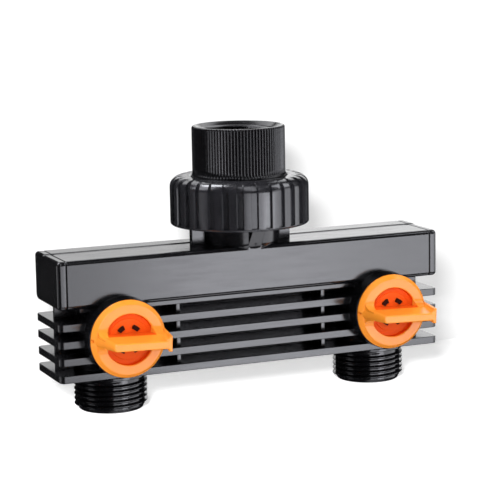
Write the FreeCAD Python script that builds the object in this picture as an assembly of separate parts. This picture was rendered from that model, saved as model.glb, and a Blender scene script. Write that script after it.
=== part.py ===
import FreeCAD, Part
import math
import os

# Two-way hose splitter: a finned manifold with a union inlet on top and two valved outlets below.
# Millimetres. Heights (h) are above the outlets' end faces while the pieces are made; export()
# then moves the origin to the centre of the inlet's sealing seat. +X runs along the bar,
# -Y is the side with the knobs, +Z points up the inlet.

V = FreeCAD.Vector
X_AXIS = V(1, 0, 0)
Y_AXIS = V(0, 1, 0)
Z_AXIS = V(0, 0, 1)
SIDES = {"left": -1, "right": 1}

# ---- overall layout ----
LENGTH = 148.6               # bar and fins, end to end
DEPTH = 26.9                 # bar and fins, front to back
OUTLET_X = 51.5              # outlet axes, each side of the inlet axis
HALF_L = LENGTH / 2
HALF_D = DEPTH / 2
LAP = 1.0                    # how far a shape runs into or past another that it joins or cuts

# ---- standard pipe threads (G series), plain at these radii ----
G34_CREST_R = 13.22          # 3/4 inch outside thread
G34_MINOR_R = 12.06          # 3/4 inch inside thread
UNION_THREAD_R = 20.4        # union collar, at its pitch radius

# ---- fins ----
FIN_COUNT = 4
FIN_BOTTOM_H = 13.2
FIN_PITCH = 6.12
FIN_T = 2.7
FIN_CORNER_R = 1.8

# ---- bar ----
BAR_BOTTOM_H = 39.1
BAR_TOP_H = 56.4
BAR_EDGE_R = 1.6
BAR_BACK_R = 2.5
STEP_Y = 4.3                 # the back strip of the top face starts here
STEP_DROP = 0.45
SEAM_NOTCH = (1.3, 1.2, 1.4)
WALL = 2.65
CHANNEL_R = 2.5
LEDGE_T = 1.7                # plate under the bar
LEDGE_INSET = 1.95
LEDGE_HALF_L = 66.0

# ---- webs between the fins ----
SPINE_T = 1.8
SPINE_HALF_L = 62.0
CROSS_WEB_X = 28.6
CROSS_WEB_T = 1.6
CROSS_WEB_INSET = 3.95

# ---- end caps ----
CAP_T = 3.15
CAP_EDGE_R = 1.4
SEAM_BEVEL = 0.25
SPIGOT_L = 6.0
SPIGOT_GAP = 0.1
SEAL_W = 2.0
SEAL_DEPTH = 1.0
SEAL_SETBACK = 2.0

# ---- neck and union collar ----
NECK_R = 14.5
NECK_FOOT_R = 13.2
NECK_FOOT_H = 54.4
NECK_BORE_R = 10.5
COLLAR_BOTTOM_H = 63.6
COLLAR_TOP_H = 72.5
SIDE_RIB_T = 2.6
SIDE_RIB_REACH = 19.4
BUTTRESS_T = 5.0
BUTTRESS_REACH = 18.4
BUTTRESS_ROOT_DROP = 0.6     # the slope starts this far below the bar's top
THREAD_BEVEL = 1.0

# ---- union nut ----
NUT_BOTTOM_H = 63.15
NUT_TOP_H = 80.65
NUT_RIDGE_R = 25.3
NUT_FOOT_T = 0.95            # plain band under the grooves
NUT_FOOT_ROUND = 0.8
NUT_BEVEL = 0.5
NUT_SHOULDER_R = 3.8
NUT_BORE_R = 20.5
NUT_LIP_H = 77.3
NUT_MOUTH_R = 17.55
RIDGE_COUNT = 30
GROOVE_DEPTH = 1.1
GROOVE_SHOULDER_R = 4.2
GROOVE_FACING_DEG = 247.7    # direction of one groove's middle, from +X towards +Y

# ---- inlet adaptor ----
ADAPTOR_TOP_H = 98.8
ADAPTOR_R = 16.93
SHANK_R = 17.2
SHANK_TOP_H = 81.0
KNURL_COUNT = 90
KNURL_DEPTH = 0.5
KNURL_FOOT_DEPTH = 0.04      # the ribs' grooves start this shallow on the shank
KNURL_FLARE_H = 1.2          # height over which the ribs come in from the shank
KNURL_FADE_H = 2.4           # height over which the grooves reach their depth
RIM_BEVEL = 0.75
ADAPTOR_FLANGE_R = 20.2
ADAPTOR_FLANGE_TOP_H = 77.2
MOUTH_R = 13.9
MOUTH_DEPTH = 1.2
SEAT_H = 86.1                # top of the inlet washer, where the tap's end seats
WASHER_T = 2.2
WASHER_R = 12.5
WASHER_IN_R = 8.5
WASHER_POCKET_R = 12.6       # undercut at the foot of the thread that keeps the washer in
THROAT_R = 8.0
THROAT_BOTTOM_H = 80.0

# ---- union gasket ----
GASKET_T = 1.95
FLANGE_GAP = 0.05            # running gap between gasket and turning flange
GASKET_IN_R = 12.0
GASKET_OUT_R = 19.6

# ---- outlets ----
OUTLET_BORE_R = 8.8
LEAD_R = 11.8
LEAD_H = 2.0
LEAD_BEVEL = 0.7
COLLAR_T = 1.1
COLLAR_R = 13.5
TENON_R = 11.5
TENON_TOP_H = 17.2
TENON_BORE_R = 6.0
STEP_BORE_H = 11.0

# ---- valves ----
VALVE_H = 28.6
BARREL_R = 14.0
BARREL_FRONT = 19.3          # distances ahead of the outlet axes, towards the knobs
BARREL_BORE_R = 9.5
BARREL_BORE_HALF = 12.0
BARREL_MOUTH_R = 12.9
OUTLET_BOSS_R = 13.7
PORT_R = 5.5
PLUG_R = 9.4
PLUG_HALF = 11.8
RING_AT = 10.0
RING_IN_R = 7.45
RING_OUT_R = 9.44
RING_W = 2.0
RING_GROOVE_W = 2.1
SEAT_OUT_R = 8.2
SEAT_POCKET_R = 8.3
SEAT_CLEARANCE = 0.1
RETAINER_BACK = 12.0
RETAINER_FRONT = 14.8
RETAINER_R = 12.88
RETAINER_BORE_R = 5.5
STEM_R = 5.4
STEM_FRONT = 14.95
POCKET_R = 1.3               # spanner pockets in the retainer
POCKET_AT = 9.5
POCKET_DEPTH = 1.2
DRIVE_SIDE = 4.8
DRIVE_FRONT = 19.0

# ---- knobs ----
KNOB_RIM_R = 13.8
KNOB_FACE_R = 12.45
KNOB_FACE = 22.0
KNOB_RIM_FRONT = 20.4
KNOB_RIM_BACK = 19.6
KNOB_SKIRT_R = 12.6
KNOB_DISC_BACK = 18.2
KNOB_RECESS_R = 9.1
KNOB_RECESS_ROUND = 0.4
KNOB_FLOOR = 20.5
KNOB_GUTTER_R = 7.2
KNOB_GUTTER_FLOOR = 20.1
HUB_R = 6.6
HUB_BACK = 15.1
GRIP_FRONT = 35.0
GRIP_ROOT = 19.9
GRIP_LEFT = -10.2
GRIP_LEFT_ROOT = -12.95
GRIP_RIGHT = 10.9
GRIP_RIGHT_ROOT = 13.7
GRIP_HALF = 1.4
GRIP_ROOT_HALF = 2.2
GRIP_NOSE = 0.85             # share of the blade's half thickness that its left end is rounded by
GRIP_BEVEL = 0.4
GRIP_TURN_DEG = 2.0          # how far the grip stands round from the drive's flats
PLATE_ABOVE = 3.1
PLATE_BELOW = 2.5
PLATE_T = 1.1
PLATE_COVE = 0.9             # share of the plate's reach past the blade that is coved
FOOT_HALF = 4.6
FOOT_RISE = 6.0
DIMPLE_R = 0.7
DIMPLE_DEPTH = 2.0
WINDOW_IN_R = 3.75
WINDOW_OUT_R = 4.95
WINDOW_HALF_DEG = 17.0
WINDOW_DEGS = (54.0, 126.0, 234.0, 306.0)
CLIP_GAP = 0.12
CLIP_HALF_DEG = 14.0
CLIP_LIP_R = 5.35
CLIP_LIP_T = 0.8
CLIP_LEG_T = 0.93
CLIP_ROOT = 2.0               # how far the clips' legs reach down into the stem's foot
FIT_GAP = 0.1


# ---- small building blocks ----

def cylinder(radius, low, high, centre_x=0.0):
    """A vertical cylinder between two heights."""
    return Part.makeCylinder(radius, high - low, V(centre_x, 0, low), Z_AXIS)


def forward_cylinder(radius, back, front, centre=(0.0, 0.0)):
    """A cylinder along Y; back and front are distances ahead of y = 0, towards the knobs."""
    return Part.makeCylinder(radius, front - back, V(centre[0], -back, centre[1]), -Y_AXIS)


def block(low, high):
    """A box between two corners."""
    size = V(*high) - V(*low)
    return Part.makeBox(size.x, size.y, size.z, V(*low))


def rounded_wire(corners, place):
    """A closed wire through (u, v, radius) corners; place maps (u, v) to a point."""
    runs = []
    count = len(corners)
    for i in range(count):
        u, v, radius = corners[i]
        before = corners[i - 1]
        after = corners[(i + 1) % count]
        to_before = V(before[0] - u, before[1] - v, 0).normalize()
        to_after = V(after[0] - u, after[1] - v, 0).normalize()
        here = V(u, v, 0)
        if radius == 0:
            runs.append((here, None, here))
            continue
        half = to_before.getAngle(to_after) / 2
        reach = radius / math.tan(half)
        bisector = (to_before + to_after).normalize()
        middle = here + bisector * (radius / math.sin(half) - radius)
        runs.append((here + to_before * reach, middle, here + to_after * reach))
    edges = []
    for i in range(count):
        start, middle, end = runs[i]
        next_start = runs[(i + 1) % count][0]
        if middle is not None:
            edges.append(Part.Arc(place(start), place(middle), place(end)).toShape())
        if (next_start - end).Length > 1e-7:
            edges.append(Part.LineSegment(place(end), place(next_start)).toShape())
    return Part.Wire(edges)


def extrude(corners, place, direction):
    """A prism on a rounded outline."""
    return Part.Face(rounded_wire(corners, place)).extrude(direction)


def in_yz(x):
    return lambda p: V(x, p.x, p.y)


def in_xy(z):
    return lambda p: V(p.x, p.y, z)


def in_xz(y):
    return lambda p: V(p.x, y, p.y)


def revolve(profile, degrees=360.0):
    """Turns a closed (radius, height, corner radius) outline about the Z axis."""
    face = Part.Face(rounded_wire(profile, in_xz(0)))
    return face.revolve(V(0, 0, 0), Z_AXIS, degrees)


def sector(radius_in, radius_out, low, high, middle_deg, half_deg):
    """A ring sector about Z."""
    outline = [(radius_in, low, 0), (radius_out, low, 0), (radius_out, high, 0), (radius_in, high, 0)]
    piece = revolve(outline, 2 * half_deg)
    piece.rotate(V(0, 0, 0), Z_AXIS, middle_deg - half_deg)
    return piece


def merge(shapes):
    """One solid from overlapping shapes."""
    return shapes[0].multiFuse(shapes[1:]).removeSplitter()


def face_forward(shape):
    """Turns a piece made about +Z so that its top faces the knobs' side."""
    shape.rotate(V(0, 0, 0), X_AXIS, 90)
    return shape


# ---- manifold ----

def bar_outline(inset=0.0):
    """The bar's section, front edge first, with the lower strip along the back of its top."""
    front = -HALF_D + inset
    back = HALF_D - inset
    bottom = BAR_BOTTOM_H + inset
    top = BAR_TOP_H - inset
    strip = top - STEP_DROP
    return [(front, bottom, BAR_EDGE_R), (back, bottom, BAR_BACK_R), (back, strip, BAR_BACK_R),
            (STEP_Y, strip, 0), (STEP_Y - STEP_DROP, top, 0), (front, top, BAR_EDGE_R)]


def channel_outline(inset=0.0):
    """The water channel's section; inset shrinks it for the pieces that plug it."""
    half = HALF_D - WALL - inset
    low = BAR_BOTTOM_H + WALL + inset
    high = BAR_TOP_H - WALL - inset
    radius = CHANNEL_R - inset
    return [(-half, low, radius), (half, low, radius), (half, high, radius), (-half, high, radius)]


def bar():
    """The hollow bar, with bevelled ends and the two notches at the ends of the top seam."""
    half = HALF_L - CAP_T
    outer = extrude(bar_outline(), in_yz(-half), X_AXIS * (2 * half))
    ends = [e for f in outer.Faces if abs(abs(f.CenterOfMass.x) - half) < 1e-6 for e in f.Edges]
    outer = outer.makeChamfer(SEAM_BEVEL, ends)
    length, depth, height = SEAM_NOTCH
    for side in SIDES.values():
        inner_x = side * (half - length)
        low_x, high_x = sorted((inner_x, side * (half + length)))
        notch = block((low_x, STEP_Y - STEP_DROP - depth, BAR_TOP_H - height),
                      (high_x, STEP_Y - STEP_DROP, BAR_TOP_H + height))
        outer = outer.cut(notch)
    return outer


def fins():
    """Four flat fins under the bar, as long and as deep as the bar with its caps."""
    corners = [(-HALF_L, -HALF_D, FIN_CORNER_R), (HALF_L, -HALF_D, FIN_CORNER_R),
               (HALF_L, HALF_D, FIN_CORNER_R), (-HALF_L, HALF_D, FIN_CORNER_R)]
    levels = [FIN_BOTTOM_H + i * FIN_PITCH for i in range(FIN_COUNT)]
    return [extrude(corners, in_xy(level), Z_AXIS * FIN_T) for level in levels]


def webs():
    """The lengthwise spine, the two cross webs and the ledge under the bar."""
    low = FIN_BOTTOM_H + FIN_T / 2
    high = BAR_BOTTOM_H + FIN_T / 2
    pieces = [block((-SPINE_HALF_L, -SPINE_T / 2, low), (SPINE_HALF_L, SPINE_T / 2, high))]
    web_y = HALF_D - CROSS_WEB_INSET
    for side in SIDES.values():
        middle = side * CROSS_WEB_X
        pieces.append(block((middle - CROSS_WEB_T / 2, -web_y, low), (middle + CROSS_WEB_T / 2, web_y, high)))
    ledge_y = HALF_D - LEDGE_INSET
    pieces.append(block((-LEDGE_HALF_L, -ledge_y, BAR_BOTTOM_H - LEDGE_T), (LEDGE_HALF_L, ledge_y, high)))
    return pieces


def neck():
    """The inlet neck with its foot, union collar, side ribs and sloping buttresses."""
    column = revolve([(0, BAR_BOTTOM_H + WALL, 0), (NECK_FOOT_R, BAR_BOTTOM_H + WALL, 0),
                      (NECK_FOOT_R, NECK_FOOT_H, 0), (NECK_R, BAR_TOP_H + LAP, 0),
                      (NECK_R, COLLAR_BOTTOM_H, 0), (UNION_THREAD_R - THREAD_BEVEL, COLLAR_BOTTOM_H, 0),
                      (UNION_THREAD_R, COLLAR_BOTTOM_H + THREAD_BEVEL, 0),
                      (UNION_THREAD_R, COLLAR_TOP_H - THREAD_BEVEL, 0),
                      (UNION_THREAD_R - THREAD_BEVEL, COLLAR_TOP_H, 0), (0, COLLAR_TOP_H, 0)])
    root_h = BAR_TOP_H - BAR_EDGE_R
    side_ribs = block((-SIDE_RIB_REACH, -SIDE_RIB_T / 2, root_h),
                      (SIDE_RIB_REACH, SIDE_RIB_T / 2, COLLAR_BOTTOM_H + LAP))
    slope_h = BAR_TOP_H - BUTTRESS_ROOT_DROP
    top_h = COLLAR_BOTTOM_H + LAP
    slope = [(-HALF_D, root_h, 0), (HALF_D, root_h, 0), (HALF_D, slope_h, 0),
             (BUTTRESS_REACH, COLLAR_BOTTOM_H, 0), (BUTTRESS_REACH, top_h, 0),
             (-BUTTRESS_REACH, top_h, 0), (-BUTTRESS_REACH, COLLAR_BOTTOM_H, 0),
             (-HALF_D, slope_h, 0)]
    buttresses = extrude(slope, in_yz(-BUTTRESS_T / 2), X_AXIS * BUTTRESS_T)
    return [column, side_ribs, buttresses]


def valve_housing(x):
    """A valve barrel towards the knob, and the boss that takes the outlet spigot."""
    barrel = forward_cylinder(BARREL_R, -HALF_D, BARREL_FRONT, (x, VALVE_H))
    boss = cylinder(OUTLET_BOSS_R, FIN_BOTTOM_H + FIN_T / 2, VALVE_H, x)
    return [barrel, boss]


def valve_bores(x):
    """What is cut out of a valve housing: plug bore, mouth, ports, seat pocket and spigot socket."""
    centre = (x, VALVE_H)
    return [forward_cylinder(BARREL_BORE_R, -BARREL_BORE_HALF, BARREL_BORE_HALF, centre),
            forward_cylinder(BARREL_MOUTH_R, RETAINER_BACK, BARREL_FRONT + LAP, centre),
            cylinder(PORT_R, VALVE_H, BAR_BOTTOM_H + WALL + LAP, x),
            cylinder(SEAT_POCKET_R, TENON_TOP_H, VALVE_H, x),
            cylinder(TENON_R, FIN_BOTTOM_H - LAP, TENON_TOP_H, x)]


def manifold_body():
    """The single moulding that carries everything: bar, fins, neck and both valve housings."""
    solids = [bar()] + fins() + webs() + neck()
    cuts = [extrude(channel_outline(), in_yz(-HALF_L), X_AXIS * LENGTH),
            cylinder(NECK_BORE_R, BAR_TOP_H - WALL - LAP, COLLAR_TOP_H + LAP)]
    for side in SIDES.values():
        solids += valve_housing(side * OUTLET_X)
        cuts += valve_bores(side * OUTLET_X)
    return merge(solids).cut(cuts).removeSplitter()


# ---- end caps ----

def end_cap(side):
    """A cap over one end of the bar, with a grooved spigot that plugs the channel."""
    inner = HALF_L - CAP_T
    cap = extrude(bar_outline(), in_yz(inner), X_AXIS * CAP_T)
    outer_face = max(cap.Faces, key=lambda f: f.CenterOfMass.x)
    cap = cap.makeFillet(CAP_EDGE_R, outer_face.Edges)
    inner_face = min(cap.Faces, key=lambda f: f.CenterOfMass.x)
    cap = cap.makeChamfer(SEAM_BEVEL, inner_face.Edges)
    spigot = extrude(channel_outline(SPIGOT_GAP), in_yz(inner - SPIGOT_L), X_AXIS * (SPIGOT_L + LAP))
    groove = seal_band(inner, SPIGOT_GAP / 2)
    piece = merge([cap, spigot]).cut(groove)
    return piece if side > 0 else mirrored(piece)


def seal_band(inner, overlap=0.0):
    """The ring of space between the channel wall and the bottom of the spigot's groove."""
    start = inner - SEAL_SETBACK - SEAL_W
    outer = extrude(channel_outline(-overlap), in_yz(start), X_AXIS * SEAL_W)
    core = extrude(channel_outline(SEAL_DEPTH), in_yz(start), X_AXIS * SEAL_W)
    return outer.cut(core)


def end_seal(side):
    """The rubber ring in the spigot's groove."""
    band = seal_band(HALF_L - CAP_T)
    return band if side > 0 else mirrored(band)


def mirrored(shape):
    return shape.mirror(V(0, 0, 0), X_AXIS)


# ---- inlet union ----

def union_nut():
    """The ring nut: a turned shell with grooves that run up its side and fade over its shoulder."""
    foot_top = NUT_BOTTOM_H + NUT_FOOT_T
    shell = revolve([(NUT_BORE_R, NUT_BOTTOM_H, 0), (NUT_RIDGE_R, NUT_BOTTOM_H, NUT_FOOT_ROUND),
                     (NUT_RIDGE_R, NUT_TOP_H, NUT_SHOULDER_R),
                     (NUT_MOUTH_R + NUT_BEVEL, NUT_TOP_H, 0), (NUT_MOUTH_R, NUT_TOP_H - NUT_BEVEL, 0),
                     (NUT_MOUTH_R, NUT_LIP_H, 0), (NUT_BORE_R, NUT_LIP_H, 0)])
    floor_r = NUT_RIDGE_R - GROOVE_DEPTH
    centre_r = floor_r - GROOVE_SHOULDER_R
    bend_h = NUT_TOP_H - GROOVE_SHOULDER_R
    diagonal = GROOVE_SHOULDER_R * math.sqrt(0.5)
    pitch = 360.0 / RIDGE_COUNT
    width = NUT_RIDGE_R * math.radians(pitch) / 2
    side = -width / 2
    bottom = V(floor_r, side, foot_top)
    bend = V(floor_r, side, bend_h)
    middle = V(centre_r + diagonal, side, bend_h + diagonal)
    fade = V(centre_r, side, NUT_TOP_H)
    outside_top = V(NUT_RIDGE_R + LAP, side, NUT_TOP_H)
    outside_bottom = V(NUT_RIDGE_R + LAP, side, foot_top)
    outline = Part.Wire([Part.LineSegment(bottom, bend).toShape(), Part.Arc(bend, middle, fade).toShape(),
                         Part.LineSegment(fade, outside_top).toShape(),
                         Part.LineSegment(outside_top, outside_bottom).toShape(),
                         Part.LineSegment(outside_bottom, bottom).toShape()])
    groove = Part.Face(outline).extrude(Y_AXIS * width)
    grooves = []
    for i in range(RIDGE_COUNT):
        turned = groove.copy()
        turned.rotate(V(0, 0, 0), Z_AXIS, GROOVE_FACING_DEG + i * pitch)
        grooves.append(turned)
    return shell.cut(grooves)


def star(height, tip_r, depth=KNURL_DEPTH):
    """The outline of the adaptor's fine grip ribs at one height: a star with a point on each rib."""
    points = []
    for i in range(2 * KNURL_COUNT):
        radius = tip_r - depth * (i % 2)
        angle = math.pi * i / KNURL_COUNT
        points.append(V(radius * math.cos(angle), radius * math.sin(angle), height))
    return Part.makePolygon(points + [points[0]])


def inlet_adaptor():
    """The knurled inlet tube: flange held by the union nut, inside thread and washer seat above."""
    floor_h = SEAT_H - WASHER_T
    flange_bottom = COLLAR_TOP_H + GASKET_T + FLANGE_GAP
    core = revolve([(0, flange_bottom, 0), (ADAPTOR_FLANGE_R, flange_bottom, 0),
                    (ADAPTOR_FLANGE_R, ADAPTOR_FLANGE_TOP_H, 0), (SHANK_R, ADAPTOR_FLANGE_TOP_H, 0),
                    (SHANK_R, SHANK_TOP_H, 0), (0, SHANK_TOP_H, 0)])
    foot_r = SHANK_R - KNURL_FOOT_DEPTH
    flare_share = KNURL_FLARE_H / KNURL_FADE_H
    rim_third = RIM_BEVEL / 3
    knurl = Part.makeLoft([star(SHANK_TOP_H - LAP, foot_r, KNURL_FOOT_DEPTH),
                           star(SHANK_TOP_H, foot_r, KNURL_FOOT_DEPTH),
                           star(SHANK_TOP_H + KNURL_FLARE_H, ADAPTOR_R, KNURL_DEPTH * flare_share),
                           star(SHANK_TOP_H + KNURL_FADE_H, ADAPTOR_R),
                           star(ADAPTOR_TOP_H - RIM_BEVEL, ADAPTOR_R),
                           star(ADAPTOR_TOP_H - rim_third, ADAPTOR_R - rim_third),
                           star(ADAPTOR_TOP_H, ADAPTOR_R - RIM_BEVEL)], True, True)
    bore = revolve([(0, floor_h, 0), (WASHER_POCKET_R, floor_h, 0), (WASHER_POCKET_R, SEAT_H, 0),
                    (G34_MINOR_R, SEAT_H, 0), (G34_MINOR_R, ADAPTOR_TOP_H - MOUTH_DEPTH, 0),
                    (MOUTH_R, ADAPTOR_TOP_H, 0), (MOUTH_R, ADAPTOR_TOP_H + LAP, 0),
                    (0, ADAPTOR_TOP_H + LAP, 0)])
    funnel = revolve([(0, flange_bottom - LAP, 0), (GASKET_IN_R, flange_bottom - LAP, 0),
                      (GASKET_IN_R, flange_bottom, 0), (THROAT_R, THROAT_BOTTOM_H, 0),
                      (THROAT_R, floor_h + LAP, 0), (0, floor_h + LAP, 0)])
    return merge([core, knurl]).cut([bore, funnel])


def ring(radius_in, radius_out, low, high, round_r=0.0):
    """A flat ring about Z."""
    return revolve([(radius_in, low, round_r), (radius_out, low, round_r),
                    (radius_out, high, round_r), (radius_in, high, round_r)])


def union_gasket():
    return ring(GASKET_IN_R, GASKET_OUT_R, COLLAR_TOP_H, COLLAR_TOP_H + GASKET_T)


def inlet_washer():
    return ring(WASHER_IN_R, WASHER_R, SEAT_H - WASHER_T, SEAT_H)


# ---- outlets ----

def outlet_spigot(x):
    """A male outlet: lead ring, threaded length, collar, and the tenon fixed in the housing."""
    body = revolve([(OUTLET_BORE_R, 0, 0), (LEAD_R - LEAD_BEVEL, 0, 0), (LEAD_R, LEAD_BEVEL, 0),
                    (LEAD_R, LEAD_H, 0),
                    (G34_CREST_R, LEAD_H + G34_CREST_R - LEAD_R, 0),
                    (G34_CREST_R, FIN_BOTTOM_H - COLLAR_T, 0), (COLLAR_R, FIN_BOTTOM_H - COLLAR_T, 0),
                    (COLLAR_R, FIN_BOTTOM_H, 0), (TENON_R, FIN_BOTTOM_H, 0), (TENON_R, TENON_TOP_H, 0),
                    (TENON_BORE_R, TENON_TOP_H, 0), (TENON_BORE_R, STEP_BORE_H, 0),
                    (OUTLET_BORE_R, STEP_BORE_H, 0)])
    body.translate(X_AXIS * x)
    return body


# ---- valves ----

def valve_plug(x):
    """The turning plug, closed as it stands: cross port, ring grooves, stem, drive and snap clips."""
    plug = face_forward(cylinder(PLUG_R, -PLUG_HALF, PLUG_HALF))
    for at in (-RING_AT, RING_AT):
        groove = ring(RING_IN_R, PLUG_R + LAP, at - RING_GROOVE_W / 2, at + RING_GROOVE_W / 2)
        plug = plug.cut(face_forward(groove))
    port = Part.makeCylinder(PORT_R, 2 * BARREL_R, V(-BARREL_R, 0, 0), X_AXIS)
    half = DRIVE_SIDE / 2
    solids = [plug.cut(port), face_forward(cylinder(STEM_R, PLUG_HALF - LAP, STEM_FRONT)),
              face_forward(block((-half, -half, STEM_FRONT - LAP), (half, half, DRIVE_FRONT)))]
    leg_in = WINDOW_IN_R + CLIP_GAP
    leg_out = leg_in + CLIP_LEG_T
    top = KNOB_FLOOR + CLIP_LIP_T
    for angle in WINDOW_DEGS:
        leg = sector(leg_in, leg_out, STEM_FRONT - CLIP_ROOT, top, angle, CLIP_HALF_DEG)
        lip = sector(leg_in, CLIP_LIP_R, KNOB_FLOOR, top, angle, CLIP_HALF_DEG)
        solids += [face_forward(leg), face_forward(lip)]
    piece = merge(solids)
    piece.translate(V(x, 0, VALVE_H))
    return piece


def plug_rings(x):
    """The two square-cut rubber rings in the plug's grooves."""
    rings = [ring(RING_IN_R, RING_OUT_R, at - RING_W / 2, at + RING_W / 2) for at in (-RING_AT, RING_AT)]
    return Part.makeCompound([face_forward(r).translated(V(x, 0, VALVE_H)) for r in rings])


def outlet_seat(x):
    """The saddle seat between plug and outlet: a rubber sleeve hollowed to the plug's round."""
    sleeve = ring(TENON_BORE_R, SEAT_OUT_R, TENON_TOP_H, VALVE_H)
    seat = sleeve.cut(face_forward(cylinder(PLUG_R + SEAT_CLEARANCE, -BARREL_R, BARREL_R)).translated(
        Z_AXIS * VALVE_H))
    return seat.translated(X_AXIS * x)


def valve_retainer(x):
    """The ring that keeps the plug in its barrel, with two spanner pockets."""
    body = ring(RETAINER_BORE_R, RETAINER_R, RETAINER_BACK, RETAINER_FRONT)
    pocket = cylinder(POCKET_R, RETAINER_FRONT - POCKET_DEPTH, RETAINER_FRONT + LAP)
    pockets = [pocket.translated(V(dx, 0, 0)) for dx in (-POCKET_AT, POCKET_AT)]
    piece = face_forward(body.cut(pockets))
    piece.translate(V(x, 0, VALVE_H))
    return piece


# ---- knobs ----

def grip_outline(forward, inset=0.0):
    """The grip's section at one distance forward: blade, rounded left end, and the end plate coved in."""
    share = (forward - GRIP_ROOT) / (GRIP_FRONT - GRIP_ROOT)
    left = GRIP_LEFT_ROOT + (GRIP_LEFT - GRIP_LEFT_ROOT) * share + inset
    right = GRIP_RIGHT_ROOT + (GRIP_RIGHT - GRIP_RIGHT_ROOT) * share
    half = GRIP_ROOT_HALF + (GRIP_HALF - GRIP_ROOT_HALF) * share - inset
    above = PLATE_ABOVE - inset
    below = PLATE_BELOW - inset
    inner = right - PLATE_T + inset
    outer = right - inset
    nose = half * GRIP_NOSE
    return rounded_wire([(left, -half, nose), (inner, -half, (below - half) * PLATE_COVE),
                         (inner, -below, 0), (outer, -below, 0), (outer, above, 0), (inner, above, 0),
                         (inner, half, (above - half) * PLATE_COVE), (left, half, nose)], in_xy(forward))


def grip():
    """The drafted grip across the knob, its front edges bevelled."""
    return Part.makeLoft([grip_outline(GRIP_ROOT), grip_outline(GRIP_FRONT - GRIP_BEVEL),
                          grip_outline(GRIP_FRONT, GRIP_BEVEL)], True, True)


def coved_outline(corners, bends):
    """A wire through corners, with an arc through bends[i] on the way from corner i to the next."""
    edges = []
    count = len(corners)
    for i in range(count):
        start, end = corners[i], corners[(i + 1) % count]
        if i in bends:
            edges.append(Part.Arc(start, bends[i], end).toShape())
        else:
            edges.append(Part.LineSegment(start, end).toShape())
    return Part.Wire(edges)


def grip_feet():
    """The coved feet where the blade stands on the ring face, each side of the recess."""
    low = KNOB_FACE - LAP / 2
    near = 1 - math.sqrt(0.5)
    run = FOOT_HALF - GRIP_HALF
    top = KNOB_FACE + FOOT_RISE
    corners = [V(0, FOOT_HALF, low), V(0, FOOT_HALF, KNOB_FACE), V(0, GRIP_HALF, top),
               V(0, -GRIP_HALF, top), V(0, -FOOT_HALF, KNOB_FACE), V(0, -FOOT_HALF, low)]
    bends = {1: V(0, GRIP_HALF + run * near, KNOB_FACE + FOOT_RISE * near),
             3: V(0, -GRIP_HALF - run * near, KNOB_FACE + FOOT_RISE * near)}
    prism = Part.Face(coved_outline(corners, bends)).extrude(X_AXIS * (2 * KNOB_RIM_R))
    prism.translate(-X_AXIS * KNOB_RIM_R)
    lean = (GRIP_LEFT - GRIP_LEFT_ROOT) / (GRIP_FRONT - GRIP_ROOT)
    bound = merge([cylinder(KNOB_FACE_R, low, KNOB_FACE),
                   Part.makeCone(KNOB_FACE_R, KNOB_FACE_R - lean * FOOT_RISE, FOOT_RISE, V(0, 0, KNOB_FACE))])
    return prism.common(bound).cut(cylinder(KNOB_RECESS_R, low - LAP, top + LAP)).Solids


def knob(x):
    """A dished knob with a tall grip, a hub with square socket, and windows for the plug's clips."""
    disc = revolve([(0, KNOB_DISC_BACK, 0), (KNOB_SKIRT_R, KNOB_DISC_BACK, 0),
                    (KNOB_SKIRT_R, KNOB_RIM_BACK, 0),
                    (KNOB_RIM_R, KNOB_RIM_BACK, 0), (KNOB_RIM_R, KNOB_RIM_FRONT, 0),
                    (KNOB_FACE_R, KNOB_FACE, 0), (KNOB_RECESS_R, KNOB_FACE, KNOB_RECESS_ROUND),
                    (KNOB_RECESS_R, KNOB_GUTTER_FLOOR, 0), (KNOB_GUTTER_R, KNOB_GUTTER_FLOOR, 0),
                    (KNOB_GUTTER_R, KNOB_FLOOR, 0), (0, KNOB_FLOOR, 0)])
    hub = cylinder(HUB_R, HUB_BACK, KNOB_DISC_BACK + LAP)
    half = DRIVE_SIDE / 2 + FIT_GAP
    cuts = [block((-half, -half, HUB_BACK - LAP), (half, half, DRIVE_FRONT + FIT_GAP))]
    for angle in WINDOW_DEGS:
        cuts.append(sector(WINDOW_IN_R, WINDOW_OUT_R, HUB_BACK - LAP, KNOB_FLOOR + LAP, angle,
                           WINDOW_HALF_DEG))
    dimple_at = V(DIMPLE_DEPTH - KNOB_RIM_R, 0, KNOB_RIM_FRONT + DIMPLE_R / 2)
    dimple = Part.makeCylinder(DIMPLE_R, 2 * DIMPLE_DEPTH, dimple_at, -X_AXIS)
    turned = [grip(), dimple] + grip_feet()
    for shape in turned:
        shape.rotate(V(0, 0, 0), Z_AXIS, -GRIP_TURN_DEG)
    raised, dimple, *feet = turned
    piece = face_forward(merge([merge([disc, hub]).cut(cuts), raised] + feet).cut(dimple))
    piece.translate(V(x, 0, VALVE_H))
    return piece


# ---- export ----

def export(name, shape):
    """Writes one sub-part with its origin at the centre of the inlet's seat."""
    shape.translated(V(0, 0, -SEAT_H)).exportStep(f"parts/{name}.step")


os.makedirs("parts", exist_ok=True)
export("manifold_body", manifold_body())
export("union_nut", union_nut())
export("inlet_adaptor", inlet_adaptor())
export("union_gasket", union_gasket())
export("inlet_washer", inlet_washer())
for name, side in SIDES.items():
    axis_x = side * OUTLET_X
    export(f"end_cap_{name}", end_cap(side))
    export(f"end_seal_{name}", end_seal(side))
    export(f"outlet_spigot_{name}", outlet_spigot(axis_x))
    export(f"outlet_seat_{name}", outlet_seat(axis_x))
    export(f"valve_plug_{name}", valve_plug(axis_x))
    export(f"plug_rings_{name}", plug_rings(axis_x))
    export(f"valve_retainer_{name}", valve_retainer(axis_x))
    export(f"knob_{name}", knob(axis_x))
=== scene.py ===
import math
from contextlib import contextmanager
import bmesh
import bpy
from mathutils import Matrix, Vector


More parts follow.
